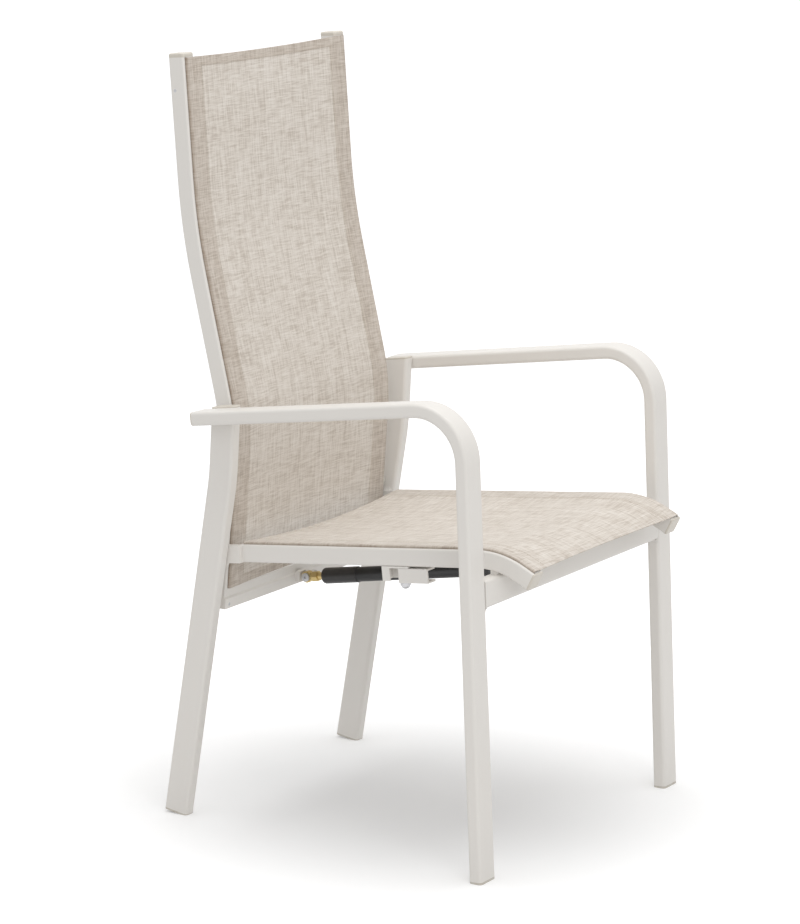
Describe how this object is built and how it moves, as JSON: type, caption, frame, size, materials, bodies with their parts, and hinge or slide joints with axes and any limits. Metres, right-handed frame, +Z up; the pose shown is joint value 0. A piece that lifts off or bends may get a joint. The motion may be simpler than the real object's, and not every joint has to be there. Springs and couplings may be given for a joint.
{
  "type": "reclining garden armchair",
  "caption": "High-backed garden armchair with a woven sling seat and back on a coated tube frame, whose back reclines against a lockable gas spring released by a lever under the armrest.",
  "frame": {"origin": "on the floor under the middle of the chair's bounding box", "axes": "+Z up, -Y the way the sitter faces, +X towards the sitter's left"},
  "size_m": [0.578, 0.6089, 1.1122],
  "materials": {
    "frame_coat": "satin off-white powder coat on aluminium",
    "sling_fabric": "matte beige woven polyester mesh, coated yarn",
    "keder_cord": "matte",
    "cap_plastic": "satin cream moulding",
    "glide_plastic": "matte, slightly worn",
    "spring_coat": "satin black",
    "sleeve_plastic": "satin black moulding",
    "rod_steel": "polished",
    "yellow_zinc": "yellow passivated zinc",
    "bright_zinc": "zinc plated",
    "spacer_nylon": "matte"
  },
  "bodies": {
    "chair_frame": {"right_arm_leg_tube": "frame_coat", "left_arm_leg_tube": "frame_coat", "right_rear_leg": "frame_coat", "left_rear_leg": "frame_coat", "right_seat_rail": "frame_coat", "left_seat_rail": "frame_coat", "right_rear_bracket": "frame_coat", "left_rear_bracket": "frame_coat", "front_cross_tube": "frame_coat", "rear_cross_tube": "frame_coat", "frame_welds": "frame_coat", "seat_sling": "sling_fabric", "seat_keder_cords": "keder_cord", "right_armrest_plug": "cap_plastic", "left_armrest_plug": "cap_plastic", "right_leg_top_plug": "cap_plastic", "left_leg_top_plug": "cap_plastic", "right_rail_cap": "cap_plastic", "left_rail_cap": "cap_plastic", "right_front_glide": "glide_plastic", "left_front_glide": "glide_plastic", "right_rear_glide": "glide_plastic", "left_rear_glide": "glide_plastic", "right_leg_insert": "bright_zinc", "left_leg_insert": "bright_zinc", "right_pivot_bolt": "bright_zinc", "left_pivot_bolt": "bright_zinc", "front_fork": "frame_coat", "front_pin": "bright_zinc", "lever_bracket": "frame_coat", "lever_stud": "bright_zinc", "dome_nut": "bright_zinc"},
    "backrest": {"right_back_stile": "frame_coat", "left_back_stile": "frame_coat", "lower_crossbar": "frame_coat", "spreader_bar": "frame_coat", "back_sling": "sling_fabric", "back_keder_cords": "keder_cord", "right_stile_cap": "cap_plastic", "left_stile_cap": "cap_plastic", "right_crossbar_plug": "frame_coat", "left_crossbar_plug": "frame_coat", "right_pivot_bush": "spacer_nylon", "left_pivot_bush": "spacer_nylon", "crossbar_screws": "bright_zinc", "spreader_screws": "bright_zinc", "spring_lug": "frame_coat", "eye_pin": "bright_zinc"},
    "gas_cylinder": {"spring_cylinder": "spring_coat", "spring_sleeve": "sleeve_plastic", "spring_eye": "yellow_zinc", "spring_lock_nut": "yellow_zinc", "spring_gland": "spring_coat"},
    "gas_rod": {"spring_rod": "rod_steel", "release_head": "spring_coat"},
    "release_pin": {"release_pin": "bright_zinc"},
    "release_lever": {"release_lever": "frame_coat"}
  },
  "joints": [
    {"name": "back_recline", "type": "hinge", "parent": "chair_frame", "child": "backrest", "pos_m": [0, 0.222, 0.425], "axis": [-1, 0, 0], "range_deg": [0, 30]},
    {"name": "spring_eye_turn", "type": "hinge", "parent": "backrest", "child": "gas_cylinder", "pos_m": [-0.018, 0.1961, 0.3235], "axis": [-1, 0, 0], "range_deg": [-32.6, 0]},
    {"name": "spring_stroke", "type": "slide", "parent": "gas_cylinder", "child": "gas_rod", "axis": [0, 0.9864, -0.1642], "range_m": [0, 0.0525]},
    {"name": "release_pin_press", "type": "slide", "parent": "gas_rod", "child": "release_pin", "axis": [1, 0, 0], "range_m": [0, 0.0025]},
    {"name": "lever_pull", "type": "hinge", "parent": "chair_frame", "child": "release_lever", "pos_m": [-0.205, -0.08884, 0.41466], "axis": [0, -0.1033, -0.9946], "range_deg": [0, 18], "stiffness_Nm_per_rad": 0.3, "springref_deg": -8.59}
  ],
  "couplings": [
    {"joint": "spring_eye_turn", "follows": "back_recline", "ratio": -1.0835},
    {"joint": "spring_stroke", "follows": "back_recline", "m_per_rad": 0.0992},
    {"joint": "release_pin_press", "follows": "lever_pull", "m_per_rad": 0.0079}
  ]
}
